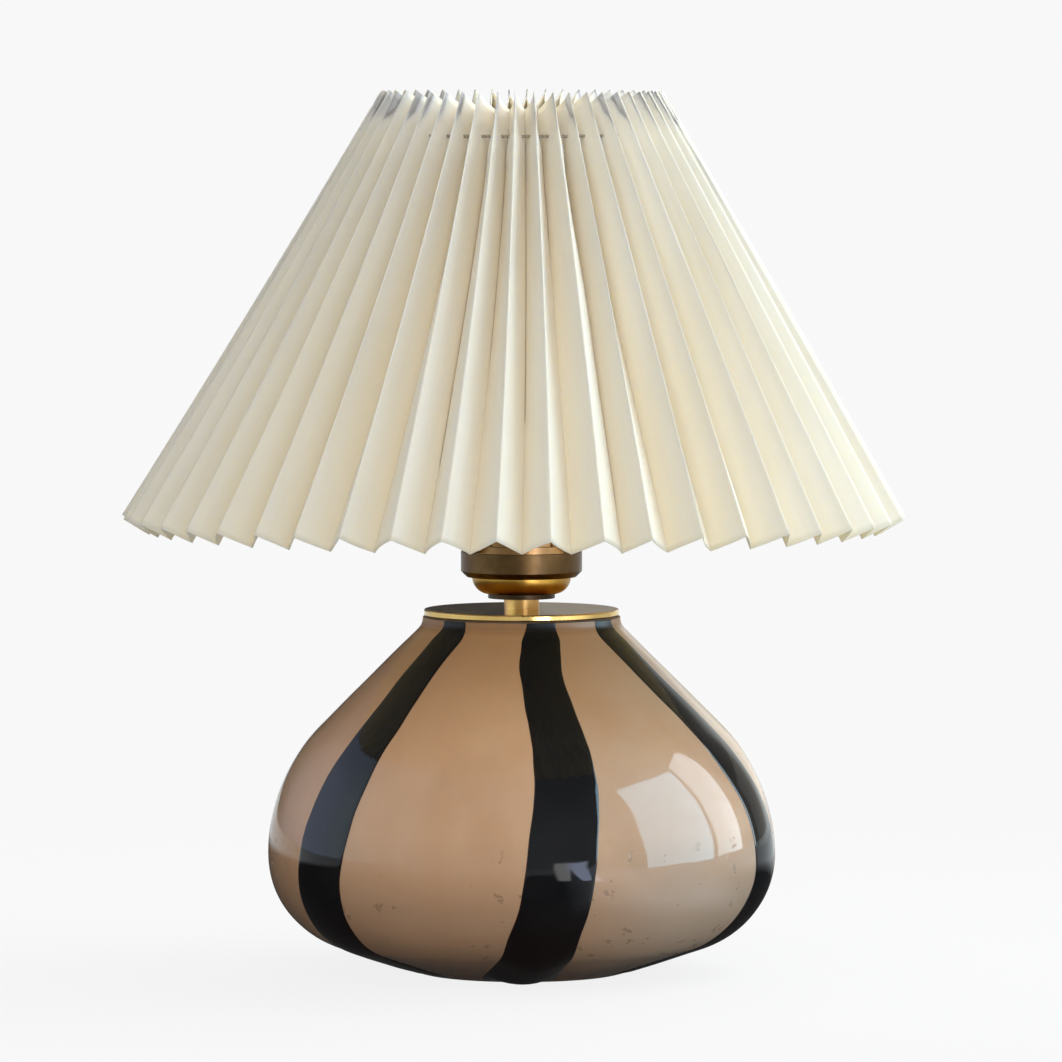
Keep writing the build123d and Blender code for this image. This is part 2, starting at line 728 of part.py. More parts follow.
def bulb_button():
    """Centre contact of the bulb, slightly domed."""
    edge = BUTTON_BOTTOM + BUTTON_DOME
    return turned(
        Line(at(0, BUTTON_TOP), at(0, BUTTON_BOTTOM)),
        bulged_arc(at(0, BUTTON_BOTTOM), at(BUTTON_RADIUS, edge), BUTTON_DOME / 4),
        Line(at(BUTTON_RADIUS, edge), at(BUTTON_RADIUS, BUTTON_TOP)),
        Line(at(BUTTON_RADIUS, BUTTON_TOP), at(0, BUTTON_TOP)),
    )


def bulb_insulator():
    return turned_polygon(
        (0, BUTTON_TOP),
        (BUTTON_RADIUS + INSULATOR_RIM, BUTTON_TOP),
        (BULB_CAP_RADIUS - INSULATOR_INSET, BULB_CAP_BOTTOM),
        (0, BULB_CAP_BOTTOM),
    )


def bulb_cap():
    """Screw cap: a thin tube with one helical ridge."""
    tube = ring(BULB_CAP_RADIUS, BULB_CAP_RADIUS - BULB_CAP_WALL, BULB_CAP_BOTTOM, BULB_CAP_LENGTH)
    floor = disc(BULB_CAP_RADIUS - BULB_CAP_WALL, BULB_CAP_BOTTOM, BULB_CAP_WALL)
    height = THREAD_TURNS * THREAD_PITCH
    start = BULB_CAP_BOTTOM + THREAD_PITCH / 2
    helix = Pos(0, 0, start) * Helix(THREAD_PITCH, height, BULB_CAP_RADIUS)
    across = Plane(origin=helix @ 0, x_dir=Vector(1, 0, 0), z_dir=helix % 0)
    ridge_height = THREAD_CREST - BULB_CAP_RADIUS
    ridge = across * Ellipse(ridge_height, THREAD_RIDGE_HALF)
    return tube + floor + sweep(ridge, helix, is_frenet=True)


def globe_edges(depth, foot):
    """Outline of the globe from its crown to its neck, at a depth inside the glass."""
    centre_z = BULB_CAP_TOP + GLOBE_LENGTH - GLOBE_RADIUS
    flare_radius = GLOBE_NECK_RADIUS + GLOBE_FLARE
    span = GLOBE_RADIUS + GLOBE_FLARE
    drop = sqrt(span**2 - flare_radius**2)
    join = (flare_radius / span, -drop / span)
    centre = (0.0, centre_z)
    flare_centre = (flare_radius, centre_z - drop)
    flare = arc_about(flare_centre, GLOBE_FLARE + depth, (-join[0], -join[1]), (-1.0, 0.0))
    crown = arc_about(centre, GLOBE_RADIUS - depth, (0.0, 1.0), join)
    return [crown, flare, Line(flare @ 1, at(GLOBE_NECK_RADIUS - depth, foot))]


def bulb_globe():
    """Opal globe, blown thin, closed at its neck by the cap."""
    outer = globe_edges(0.0, BULB_CAP_TOP)
    inner = globe_edges(GLOBE_WALL, BULB_CAP_TOP)
    neck = Line(at(GLOBE_NECK_RADIUS, BULB_CAP_TOP), at(GLOBE_NECK_RADIUS - GLOBE_WALL, BULB_CAP_TOP))
    crown = Line(outer[0] @ 0, inner[0] @ 0)
    return turned(crown, *outer, neck, *inner)


# Pleated shade

SHADE_LEAN = atan2(SHADE_BOTTOM_RADIUS - SHADE_TOP_RADIUS, SHADE_TOP_HEIGHT - SHADE_BOTTOM_HEIGHT)
GATHER_HEIGHT = SHADE_TOP_HEIGHT - GATHER_DROP
CARRIER_RING_HEIGHT = SHADE_TOP_HEIGHT - CARRIER_RING_DROP


def fold_places():
    """Ridge and valley of one fold at the top and at the bottom edge, as radius and height.

    Every wall of a fold is as wide as the sheet's pleat. The ring of ridges is tighter at
    the top, so the folds are deeper there.
    """
    places = []
    for radius, z in ((SHADE_TOP_RADIUS, SHADE_TOP_HEIGHT), (SHADE_BOTTOM_RADIUS, SHADE_BOTTOM_HEIGHT)):
        half_gap = radius * sin(pi / PLEATS)
        depth = sqrt(PLEAT_WIDTH**2 - half_gap**2)
        mitre = SHEET_THICKNESS * PLEAT_WIDTH / half_gap
        places.append((radius, z, depth, mitre))
    return places


def fold_point(place, inward, valley, number):
    """Corner of the folded sheet, on its outer or inner face."""
    radius, z, depth, mitre = fold_places()[place]
    move = (depth if valley else 0.0) + (mitre if inward else 0.0)
    along = radius - move * cos(SHADE_LEAN)
    height = z - move * sin(SHADE_LEAN)
    turn = 2 * pi * (number + (0.5 if valley else 0.0)) / PLEATS
    return Vector(along * cos(turn), along * sin(turn), height)


def fold_edge(inward, valley, number):
    """Line of a fold from the top edge of the shade to the bottom edge."""
    return Edge.make_line(fold_point(0, inward, valley, number), fold_point(1, inward, valley, number))


def pleated_shade():
    """One thin sheet, folded all the way round: four faces for each wall of a fold."""
    faces = []
    for number in range(PLEATS):
        for first, second in (((False, number), (True, number)), ((True, number), (False, number + 1))):
            for inward in (False, True):
                faces.append(
                    Face.make_surface_from_curves(fold_edge(inward, *first), fold_edge(inward, *second))
                )
            for place in (0, 1):
                outer = Edge.make_line(fold_point(place, False, *first), fold_point(place, False, *second))
                inner = Edge.make_line(fold_point(place, True, *first), fold_point(place, True, *second))
                faces.append(Face.make_surface_from_curves(outer, inner))
    return Solid(Shell(faces))


def gathering_radius():
    """Radius of the cord's ring: half way into the folds at its height."""
    top, bottom = fold_places()
    share = GATHER_DROP / (SHADE_TOP_HEIGHT - SHADE_BOTTOM_HEIGHT)
    ridge = SHADE_TOP_RADIUS + (SHADE_BOTTOM_RADIUS - SHADE_TOP_RADIUS) * share
    depth = top[2] + (bottom[2] - top[2]) * share
    return ridge - depth / cos(SHADE_LEAN) / 2


def gathering_cord():
    return Pos(0, 0, GATHER_HEIGHT) * Torus(gathering_radius(), GATHER_CORD_RADIUS)


def gathering_holes():
    """Ring-shaped cutter that pierces every wall of the folds."""
    return Pos(0, 0, GATHER_HEIGHT) * Torus(gathering_radius(), GATHER_HOLE_RADIUS)


# Wire carrier that the shade rests on


def valley_radius(z):
    """Radius of the sheet's innermost folds at a height."""
    ends = []
    for place in (0, 1):
        corner = fold_point(place, True, True, 0)
        ends.append((sqrt(corner.X**2 + corner.Y**2), corner.Z))
    (top_radius, top_z), (low_radius, low_z) = ends
    return top_radius + (low_radius - top_radius) * (top_z - z) / (top_z - low_z)


def carrier_ring_radius():
    """Middle radius of the top ring, whose wire just clears the folds' slanted lines."""
    reach = (CARRIER_RING_WIRE + CARRIER_PLAY) / cos(SHADE_LEAN)
    return valley_radius(CARRIER_RING_HEIGHT) - reach


def carrier_ring():
    return Pos(0, 0, CARRIER_RING_HEIGHT) * Torus(carrier_ring_radius(), CARRIER_RING_WIRE)


def fitter_ring():
    """Flat ring that sits loose on the sleeve, between the band and the grip ring."""
    return ring(FITTER_RADIUS, SLEEVE_RADIUS + FITTER_PLAY, FITTER_BOTTOM, FITTER_THICKNESS)


def carrier_arms(rings):
    """Bent wires from the fitter ring up to the top ring."""
    level = FITTER_BOTTOM + FITTER_THICKNESS / 2
    start = FITTER_RADIUS - FITTER_PLAY
    path = FilletPolyline(
        at(start, level),
        at(FITTER_RADIUS + ARM_REACH, level),
        at(carrier_ring_radius(), CARRIER_RING_HEIGHT),
        radius=ARM_BEND,
    )
    section = Plane(origin=path @ 0, z_dir=path % 0) * Circle(ARM_RADIUS)
    wire = sweep(section, path)
    for piece in rings:
        wire = wire - piece
    keep = wire.solids().sort_by(SortBy.VOLUME)[-1]
    return [Rot(0, 0, ARM_START_ANGLE + 360 / ARM_COUNT * number) * keep for number in range(ARM_COUNT)]


def write(name, shape):
    """Writes a node, one solid or a group of solids, to its own file."""
    solids = shape if isinstance(shape, list) else [shape]
    flat = [solid for item in solids for solid in item.solids()]
    export_step(flat[0] if len(flat) == 1 else Compound(children=flat), f"parts/{name}.step")


def main():
    os.makedirs("parts", exist_ok=True)
    stripes = [stripe(angles, crown) for angles, crown in zip(STRIPE_ANGLES, STRIPE_LOW_CROWNS)]
    glass = glass_body(stripes)
    fitter = fitter_ring()
    top_ring = carrier_ring()
    write("glass_body", glass)
    write("glass_stripes", stripes)
    write("cord_inlet_bush", cord_inlet_bush(glass))
    write("threaded_rod", threaded_rod())
    write("foot_gasket", foot_gasket())
    write("clamp_plate", clamp_plate())
    write("lock_washer", lock_washer())
    write("rod_nut", rod_nut())
    write("neck_gasket", neck_gasket())
    write("vase_cap", vase_cap())
    write("neck_bush", neck_bush())
    write("stem_tube", stem_tube())
    write("stem_washer", stem_washer())
    write("lampholder_cup", lampholder_cup())
    write("lampholder_sleeve", lampholder_sleeve())
    write("holder_band", holder_band())
    write("grip_ring", grip_ring())
    write("lampholder_core", lampholder_core())
    write("screw_shell", screw_shell())
    write("centre_contact", centre_contact())
    write("contact_rivets", contact_rivets())
    write("terminal_blocks", terminal_blocks())
    write("terminal_screws", terminal_screws())
    write("bulb_button", bulb_button())
    write("bulb_insulator", bulb_insulator())
    write("bulb_cap", bulb_cap())
    write("bulb_globe", bulb_globe())
    write("fitter_ring", fitter)
    write("carrier_ring", top_ring)
    write("carrier_arms", carrier_arms([fitter, top_ring]))
    write("pleated_shade", pleated_shade() - gathering_holes())
    write("gathering_cord", gathering_cord())


main()
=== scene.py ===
import math
import random

import bpy
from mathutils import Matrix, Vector, noise


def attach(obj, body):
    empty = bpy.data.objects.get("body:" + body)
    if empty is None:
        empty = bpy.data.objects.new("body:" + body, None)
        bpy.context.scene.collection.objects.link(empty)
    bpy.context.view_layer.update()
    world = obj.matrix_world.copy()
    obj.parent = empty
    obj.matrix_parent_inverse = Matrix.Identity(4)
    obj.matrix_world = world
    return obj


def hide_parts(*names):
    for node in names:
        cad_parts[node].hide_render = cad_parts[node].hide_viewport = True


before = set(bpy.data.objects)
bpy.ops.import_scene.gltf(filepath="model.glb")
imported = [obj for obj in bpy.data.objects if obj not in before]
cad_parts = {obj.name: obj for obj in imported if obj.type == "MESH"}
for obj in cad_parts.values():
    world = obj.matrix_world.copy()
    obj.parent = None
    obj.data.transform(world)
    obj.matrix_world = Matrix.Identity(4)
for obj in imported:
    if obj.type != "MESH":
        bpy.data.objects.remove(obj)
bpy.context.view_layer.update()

# Outline of the glass, in metres
BELLY_RADIUS = 0.0972
BELLY_HEIGHT = 0.0456
SHOULDER_ARC = 0.0685
SHOULDER_TILT = math.radians(45.0)
UNDERSIDE_ARC = 0.0364
UNDERSIDE_TILT = math.radians(18.7 - 90.0)
NECK_RADIUS = 0.0378
NECK_ARC = 0.006
NECK_LIP = 0.0003
GLASS_WALL = 0.004
FOOT_FLOOR = 0.0046
FOOT_RING_WIDTH = 0.0066
FOOT_EDGE = 0.0008
PUNT_HEIGHT = 0.010
PUNT_RISE_WIDTH = 0.013
ROD_HOLE = 0.0056
WOBBLE = 0.00022

# Heights between which the look of the glass changes, and distances to its right
# Painted shade under the cap: heights over which the glass is darkened
CAP_SHADE_HEIGHTS = (0.1310, 0.1340)
GROUND_HEIGHTS = (0.1315, 0.1345)
HAZE_HEIGHTS = (0.085, 0.105)
AMBER_HEIGHTS = (0.080, 0.136)
# Painted shade low down: heights over which the glass darkens towards the bottom; they also bring
# in the rosy tone
LOW_HEIGHTS = (0.060, 0.032)
SEED_HEIGHTS = (0.060, 0.048)
RED_BLACK_HEIGHTS = (0.036, 0.006)
# Painted light: distances to the right over which the glass is made lighter
PAINTED_LIGHT_SIDE = (0.005, 0.060)
ROSY_SIDE = (0.020, 0.055)

# Stripes: angles down the glass, the crown low on the underside, and the width at the foot
STRIPES = (
    ((11.5, 8.0, 10.1, 11.0, 9.9, 7.8, 5.2, 2.2, -1.5), 0.0046, 0.0290),
    ((56.0, 61.0, 65.5, 67.5, 73.0, 73.8, 71.5, 69.5, 67.0), 0.0006, 0.0225),
    ((130.0, 133.0, 134.0, 131.0, 128.0), 0.0016, 0.0225),
    ((187.0, 190.0, 193.0, 191.0, 188.0), 0.0022, 0.0225),
    ((247.0, 246.0, 244.0, 242.0, 241.0), 0.0009, 0.0225),
    ((317.6, 314.0, 313.5, 312.4, 309.8, 307.2, 305.0, 303.6, 302.5), 0.0010, 0.0240),
)
STRIPE_START = 0.75
STRIPE_START_PLACE = 0.045
STRIPE_NECK_WIDTH = 0.0150
STRIPE_BELLY_WIDTH = 0.0272
STRIPE_NECK_CROWN = 0.0003
STRIPE_BELLY_CROWN = 0.0004
STRIPE_FOOT_CROWN = 0.0004
STRIPE_EDGE = 0.00015
STRIPE_LOW_PLACE = 0.91
STRIPE_END = 0.985
STRIPE_END_FADE = 0.02
STRIPE_ROOT = 0.0009
STRIPE_SAG = 0.0006
STRIPE_EDGE_STRAY = 0.0004
STRIPE_EDGE_SINK = 0.0002
STRIPE_EDGE_ROLL = 30

# Pleated shade
PLEATS = 48
SHADE_TOP = (0.0536, 0.3374)
SHADE_BOTTOM = (0.1500, 0.1746)
PLEAT_WIDTH = 0.0149
SHEET_THICKNESS = 0.0004
GATHER_DROP = 0.0168
SHADE_TURN = math.radians(-2.4)
HEM_SWAY = -0.0028
CREASE_TIP = 0.00022
WALL_WAVE = 0.0010
TOP_FLARE = 0.0009
THREAD_PINCH = 0.0007
THREAD_PINCH_REACH = 0.035


def smooth(low, high, value):
    """0 below low, 1 above high, and a level start and end between."""
    share = min(max((value - low) / (high - low), 0.0), 1.0)
    return share * share * (3 - 2 * share)


def lerp(first, last, share):
    return first + (last - first) * share


# Materials

GLASS_GLOSS = 0.25


class Graph:
    """Short names for building the nodes of one material, or of the world."""

    def __init__(self, owner, place="Object"):
        owner.use_nodes = True
        self.owner = owner
        self.tree = owner.node_tree
        self.shader = self.tree.nodes.get("Principled BSDF")
        self.place = self.node("TexCoord").outputs[place]

    def node(self, kind, inputs=None, **settings):
        made = self.tree.nodes.new("ShaderNode" + kind)
        for key, value in settings.items():
            setattr(made, key, value)
        for key, value in (inputs or {}).items():
            self.feed(made.inputs[key], value)
        return made

    def feed(self, socket, value):
        if isinstance(value, bpy.types.NodeSocket):
            self.tree.links.new(value, socket)
        else:
            socket.default_value = value

    def set(self, **values):
        """Sets or links the shader's sockets; an underscore stands for a space in their names."""
        for key, value in values.items():
            if isinstance(value, tuple) and len(value) == 3 and "Color" in key:
                value = (*value, 1.0)
            self.feed(self.shader.inputs[key.replace("_", " ")], value)

    def stretched(self, x, y, z):
        return self.node("Mapping", {"Vector": self.place, "Scale": (x, y, z)}).outputs[0]

    def noise(self, scale, detail=3.0, rough=0.5, place=None, distortion=0.0):
        values = {"Scale": scale, "Detail": detail, "Roughness": rough, "Distortion": distortion}
        values["Vector"] = place or self.place
        return self.node("TexNoise", values).outputs["Fac"]

    def ramp(self, factor, *stops):
        """A colour for each place on the factor."""
        made = self.node("ValToRGB", {"Fac": factor})
        elements = made.color_ramp.elements
        while len(elements) < len(stops):
            elements.new(0.5)
        for element, (position, colour) in zip(elements, stops):
            element.position = position
            element.color = (*colour, 1)
        return made.outputs["Color"]

    def mix(self, factor, first, last, blend="MIX"):
        made = self.node("Mix", data_type="RGBA", blend_type=blend)
        for index, value in ((0, factor), (6, first), (7, last)):
            if isinstance(value, tuple) and len(value) == 3:
                value = (*value, 1.0)
            self.feed(made.inputs[index], value)
        return made.outputs[2]

    def math(self, operation, first, second=0.0, third=0.0):
        made = self.node("Math", operation=operation)
        for index, value in enumerate((first, second, third)):
            self.feed(made.inputs[index], value)
        return made.outputs[0]

    def span(self, value, low, high, start=0.0, end=1.0):
        names = ("Value", "From Min", "From Max", "To Min", "To Max")
        made = self.node("MapRange", dict(zip(names, (value, low, high, start, end))))
        return made.outputs[0]

    def within(self, value, low, high, soft):
        """1 between low and high, fading to 0 over the soft width on either side."""
        above = self.span(value, low - soft, low + soft)
        below = self.span(value, high + soft, high - soft)
        return self.math("MULTIPLY", above, below)

    def axis(self, index, place=None):
        return self.node("SeparateXYZ", {"Vector": place or self.place}).outputs[index]

    def turn(self):
        """Angle round the lamp's axis, from the front towards +X."""
        return self.math("ARCTAN2", self.axis(0), self.math("MULTIPLY", self.axis(1), -1.0))

    def bump(self, height, strength, distance, normal=None):
        values = {"Height": height, "Strength": strength, "Distance": distance}
        if normal:
            values["Normal"] = normal
        return self.node("Bump", values).outputs[0]

    def rings(self):
        """Distance from the lamp's axis and height, for marks that a lathe leaves."""
        x, y, z = (self.axis(index) for index in range(3))
        square = self.math("ADD", self.math("MULTIPLY", x, x), self.math("MULTIPLY", y, y))
        return self.math("SQRT", square), z


def glass_skin(g, clear, smudged):
    """Roughness of the glass: smudges, a haze near the neck, and ground matt under the cap."""
    smudge = g.span(g.noise(35.0, 4.0, 0.6), 0.3, 0.8, clear, smudged)
    haze = g.span(g.axis(2), *HAZE_HEIGHTS, 0.0, 0.07)
    ground = g.span(g.axis(2), *GROUND_HEIGHTS, 0.0, 0.30)
    return g.math("ADD", g.math("ADD", smudge, haze), ground)


TAN_DEEP = (0.418, 0.248, 0.144)
TAN_PALE = (0.492, 0.313, 0.194)
TAN_STREAK = (0.520, 0.358, 0.243)
TAN_AMBER = (0.585, 0.320, 0.143)
# Painted light: the lighter, greyer colour of the side where the window's light falls
TAN_PAINTED_WINDOW_LIGHT = (0.470, 0.385, 0.325)
# Painted shade: the colour that darkens the glass just under the cap
TAN_PAINTED_CAP_SHADE = (0.288, 0.150, 0.069)
# Painted shade: the darker colour of the glass low down, where less light reaches it
TAN_PAINTED_LOW_SHADE = (0.308, 0.187, 0.117)
TAN_ROSY = (0.350, 0.280, 0.222)
SEED_BROWN = (0.16, 0.105, 0.07)
SCRATCH_BROWN = (0.24, 0.16, 0.11)


def tan_colour(g):
    """Clouds and streaks, amber near the neck, painted window light at the right, painted shade
    under the cap and low down, and rosy low down at the right.
    """
    right, height = g.axis(0), g.axis(2)
    clouds = g.noise(14.0, 4.0, 0.55, distortion=0.6)
    colour = g.ramp(clouds, (0.32, TAN_DEEP), (0.68, TAN_PALE))
    streaks = g.noise(1.0, 3.0, 0.6, g.stretched(55, 55, 9))
    colour = g.mix(g.span(streaks, 0.35, 0.75, 0.0, 0.30), colour, TAN_STREAK)
    colour = g.mix(g.span(height, *AMBER_HEIGHTS, 0.0, 0.8), colour, TAN_AMBER)
    # Painted light: the right side, where the window's light falls, is made lighter and greyer
    painted_window_light = g.math("MULTIPLY", g.span(right, *PAINTED_LIGHT_SIDE, 0.0, 0.5), g.span(clouds, 0.30, 0.60))
    colour = g.mix(painted_window_light, colour, TAN_PAINTED_WINDOW_LIGHT)
    # Painted shade: the glass is darkened just under the cap
    colour = g.mix(g.span(height, *CAP_SHADE_HEIGHTS, 0.0, 0.7), colour, TAN_PAINTED_CAP_SHADE)
    # Painted shade: the glass is made darker towards the bottom, where less light reaches it; the
    # same mask brings in the rosy tone at the right
    low = g.span(height, *LOW_HEIGHTS)
    colour = g.mix(g.math("MULTIPLY", low, 0.75), colour, TAN_PAINTED_LOW_SHADE)
    rosy = g.math("MULTIPLY", low, g.span(right, *ROSY_SIDE, 0.0, 0.7))
    return g.mix(rosy, colour, TAN_ROSY)


def seeds_and_scratches(g):
    """Where small seeds lie in the lower part of the glass, and where it is scratched."""
    lower = g.span(g.axis(2), *SEED_HEIGHTS)
    jitter = g.node("TexNoise", {"Vector": g.place, "Scale": 300.0}).outputs["Color"]
    bent = g.mix(0.012, g.place, jitter, "ADD")
    seeds = g.node("TexVoronoi", {"Vector": bent, "Scale": 150.0, "Randomness": 1.0})
    crowd = g.span(g.noise(24.0, 2.0, 0.5), 0.40, 0.62, 0.95, 0.62)
    rare = g.math("GREATER_THAN", g.axis(0, seeds.outputs["Color"]), crowd)
    spot = g.span(seeds.outputs["Distance"], 0.30, 0.16)
    dots = g.math("MULTIPLY", spot, g.math("MULTIPLY", rare, lower))
    scratch = g.noise(1.0, 6.0, 0.75, g.stretched(60, 60, 620), 1.4)
    return dots, g.math("MULTIPLY", g.span(scratch, 0.66, 0.71), lower)


def tan_glass():
    """Milky tan glass, cloudy and darker low down, with seeds and fine scratches."""
    g = Graph(bpy.data.materials.new("tan_opal_glass"))
    dots, scratches = seeds_and_scratches(g)
    colour = g.mix(g.math("MULTIPLY", dots, 0.5), tan_colour(g), SEED_BROWN)
    colour = g.mix(g.math("MULTIPLY", scratches, 0.45), colour, SCRATCH_BROWN)
    g.set(
        Base_Color=colour,
        Roughness=glass_skin(g, 0.035, 0.10),
        IOR=1.5,
        Specular_IOR_Level=GLASS_GLOSS,
        Subsurface_Weight=0.35,
        Subsurface_Radius=(1.0, 0.62, 0.38),
        Subsurface_Scale=0.006,
    )
    ripple = g.noise(26.0, 2.0, 0.4)
    normal = g.bump(ripple, 0.35, 0.0012)
    g.set(Normal=g.bump(g.math("SUBTRACT", 0.0, dots), 0.5, 0.0003, normal))
    return g.owner


def black_glass():
    """Black glass, a little red where it thins out at its edges and low down."""
    g = Graph(bpy.data.materials.new("black_trail_glass"))
    cloud = g.noise(60.0, 3.0, 0.5)
    colour = g.ramp(cloud, (0.35, (0.0042, 0.0044, 0.0052)), (0.70, (0.0072, 0.0070, 0.0080)))
    low = g.span(g.axis(2), *RED_BLACK_HEIGHTS, 0.0, 0.8)
    colour = g.mix(low, colour, (0.0110, 0.0052, 0.0040))
    across = g.math("ABSOLUTE", g.axis(0, g.node("UVMap").outputs[0]))
    colour = g.mix(g.span(across, 0.78, 1.0, 0.0, 0.9), colour, (0.050, 0.014, 0.008))
    g.set(
        Base_Color=colour,
        Roughness=glass_skin(g, 0.03, 0.08),
        IOR=1.5,
        Specular_IOR_Level=GLASS_GLOSS,
        Normal=g.bump(g.noise(48.0, 2.0, 0.45), 0.15, 0.0008),
    )
    return g.owner


def turned_metal(name, light, dark, roughness, grain, marks=0.15):
    """Metal finished on a lathe: fine rings, smudges, and darker places."""
    g = Graph(bpy.data.materials.new(name))
    radius, height = g.rings()
    line = g.node("CombineXYZ", {"X": radius, "Y": height}).outputs[0]
    lines = g.noise(grain, 2.0, 0.7, line)
    cloud = g.noise(70.0, 4.0, 0.6)
    g.set(
        Base_Color=g.ramp(cloud, (0.30, dark), (0.62, light)),
        Metallic=1.0,
        Roughness=g.span(g.noise(160.0, 4.0, 0.6), 0.3, 0.8, *roughness),
    )
    g.set(Normal=g.bump(lines, marks, 0.00006))
    return g.owner


def cast_metal(name, light, dark, roughness):
    """Plated or satin metal with fine speckle."""
    g = Graph(bpy.data.materials.new(name))
    cells = g.node("TexVoronoi", {"Vector": g.place, "Scale": 420.0}).outputs["Color"]
    speckle = g.axis(0, cells)
    cloud = g.noise(140.0, 4.0, 0.6)
    clouded = g.ramp(cloud, (0.3, dark), (0.7, light))
    colour = g.mix(g.math("MULTIPLY", speckle, 0.25), clouded, dark)
    g.set(
        Base_Color=colour,
        Metallic=1.0,
        Roughness=g.span(cloud, 0.3, 0.8, *roughness),
        Normal=g.bump(g.noise(900.0, 2.0, 0.6), 0.12, 0.00006),
    )
    return g.owner


def moulded(name, light, dark, roughness, grain=700.0, relief=0.2, subsurface=0.0):
    """Rubber, plastic, ceramic or opal glass with a fine skin."""
    g = Graph(bpy.data.materials.new(name))
    cloud = g.noise(45.0, 4.0, 0.6)
    g.set(
        Base_Color=g.ramp(cloud, (0.3, dark), (0.7, light)),
        Roughness=g.span(g.noise(220.0, 3.0, 0.6), 0.3, 0.8, *roughness),
        Normal=g.bump(g.noise(grain, 3.0, 0.6), relief, 0.00012),
        Subsurface_Weight=subsurface,
        Subsurface_Scale=0.004,
    )
    return g.owner


def shade_cloth():
    """Thin cream cloth: fine weave, slubs, painted shade in the valleys below the thread, and light
    that comes through.
    """
    g = Graph(bpy.data.materials.new("pleated_cream_cloth"))
    flat = g.node("UVMap").outputs[0]
    across = g.node("Mapping", {"Vector": flat, "Scale": (1.0, 0.06, 1.0)}).outputs[0]
    along = g.node("Mapping", {"Vector": flat, "Scale": (0.06, 1.0, 1.0)}).outputs[0]
    warp = g.noise(2300.0, 2.0, 0.6, across)
    weft = g.noise(2300.0, 2.0, 0.6, along)
    weave = g.math("ADD", warp, weft)
    slub = g.noise(260.0, 3.0, 0.6, across)
    cloud = g.noise(9.0, 3.0, 0.5, flat)
    colour = g.ramp(cloud, (0.3, (0.814, 0.744, 0.630)), (0.7, (0.850, 0.789, 0.690)))
    colour = g.mix(g.span(slub, 0.45, 0.80, 0.0, 0.30), colour, (0.767, 0.675, 0.552))
    # Painted shade: the cloth is darker and warmer towards the valley of each fold, below the
    # thread
    from_ridge = g.math("PINGPONG", g.axis(0, flat), PLEAT_WIDTH)
    painted_valley_shade = g.span(from_ridge, 0.2 * PLEAT_WIDTH, PLEAT_WIDTH, 0.0, 0.5)
    below = g.span(g.axis(1, flat), 0.012, 0.035)
    colour = g.mix(g.math("MULTIPLY", painted_valley_shade, below), colour, (0.783, 0.645, 0.456))
    g.set(
        Base_Color=colour,
        Roughness=0.75,
        Sheen_Weight=0.15,
        Sheen_Roughness=0.5,
        Subsurface_Weight=0.7,
        Subsurface_Radius=(1.0, 0.85, 0.55),
        Subsurface_Scale=0.0014,
    )
    normal = g.bump(weave, 0.12, 0.00012)
    g.set(Normal=g.bump(slub, 0.15, 0.0002, normal))
    return g.owner


def thread():
    """Two-ply thread with a slanted twist."""
    g = Graph(bpy.data.materials.new("gathering_thread"))
    x, y, z = (g.axis(index) for index in range(3))
    turn = g.math("ARCTAN2", y, x)
    lean = g.math("ADD", g.math("MULTIPLY", turn, 210.0), g.math("MULTIPLY", z, 2400.0))
    ply = g.span(g.math("SINE", lean), -1.0, 1.0)
    twist = g.ramp(ply, (0.1, (0.20, 0.18, 0.15)), (0.8, (0.42, 0.38, 0.31)))
    g.set(
        Base_Color=g.mix(g.noise(2200.0, 2.0, 0.6), twist, (0.34, 0.30, 0.24)),
        Roughness=0.8,
        Normal=g.bump(ply, 0.8, 0.0003),
    )
    return g.owner


BRASS = turned_metal("polished_brass", (0.80, 0.54, 0.20), (0.68, 0.44, 0.14), (0.08, 0.17), 5200.0)
AGED_BRASS = turned_metal(
    "aged_brass", (0.58, 0.32, 0.06), (0.43, 0.23, 0.04), (0.30, 0.40), 4200.0, 0.2
)
STEM_BRASS = turned_metal(
    "drawn_brass", (0.72, 0.44, 0.155), (0.60, 0.35, 0.11), (0.28, 0.38), 4200.0, 0.2
)
# Dark band: a patina colour made darker still, partly a painted reflection of the dark surroundings
DARK_BRASS = turned_metal(
    "patina_and_painted_dark_reflection_brass", (0.155, 0.088, 0.035), (0.088, 0.050, 0.021), (0.30, 0.42), 3600.0, 0.3
)
BROWN_BRASS = turned_metal(
    "brown_brass", (0.36, 0.20, 0.08), (0.23, 0.128, 0.053), (0.26, 0.40), 3600.0, 0.2
)
BLACK_BRASS = turned_metal(
    "blackened_brass", (0.075, 0.048, 0.026), (0.045, 0.030, 0.018), (0.35, 0.5), 3600.0
)
SATIN_BRASS = cast_metal("satin_brass", (0.75, 0.57, 0.28), (0.60, 0.44, 0.19), (0.24, 0.42))
ZINC = cast_metal("zinc_steel", (0.60, 0.60, 0.58), (0.44, 0.44, 0.43), (0.30, 0.50))
NICKEL = cast_metal("nickel_plate", (0.70, 0.67, 0.61), (0.58, 0.55, 0.50), (0.18, 0.34))
RUBBER = moulded("black_rubber", (0.030, 0.029, 0.028), (0.018, 0.018, 0.018), (0.6, 0.8))
CORK = moulded("cork_rubber", (0.20, 0.14, 0.09), (0.09, 0.06, 0.04), (0.7, 0.9), 900.0, 0.6)
PLASTIC = moulded("neck_plastic", (0.050, 0.050, 0.050), (0.032, 0.032, 0.032), (0.4, 0.6))
CERAMIC = moulded(
    "glazed_ceramic", (0.84, 0.82, 0.77), (0.76, 0.74, 0.69), (0.12, 0.28), 120.0, 0.1, 0.15
)
VITRITE = moulded("vitrite", (0.010, 0.010, 0.012), (0.006, 0.006, 0.007), (0.08, 0.2), 200.0, 0.15)
OPAL = moulded("opal_glass", (0.90, 0.89, 0.85), (0.86, 0.85, 0.80), (0.06, 0.16), 90.0, 0.05, 0.6)

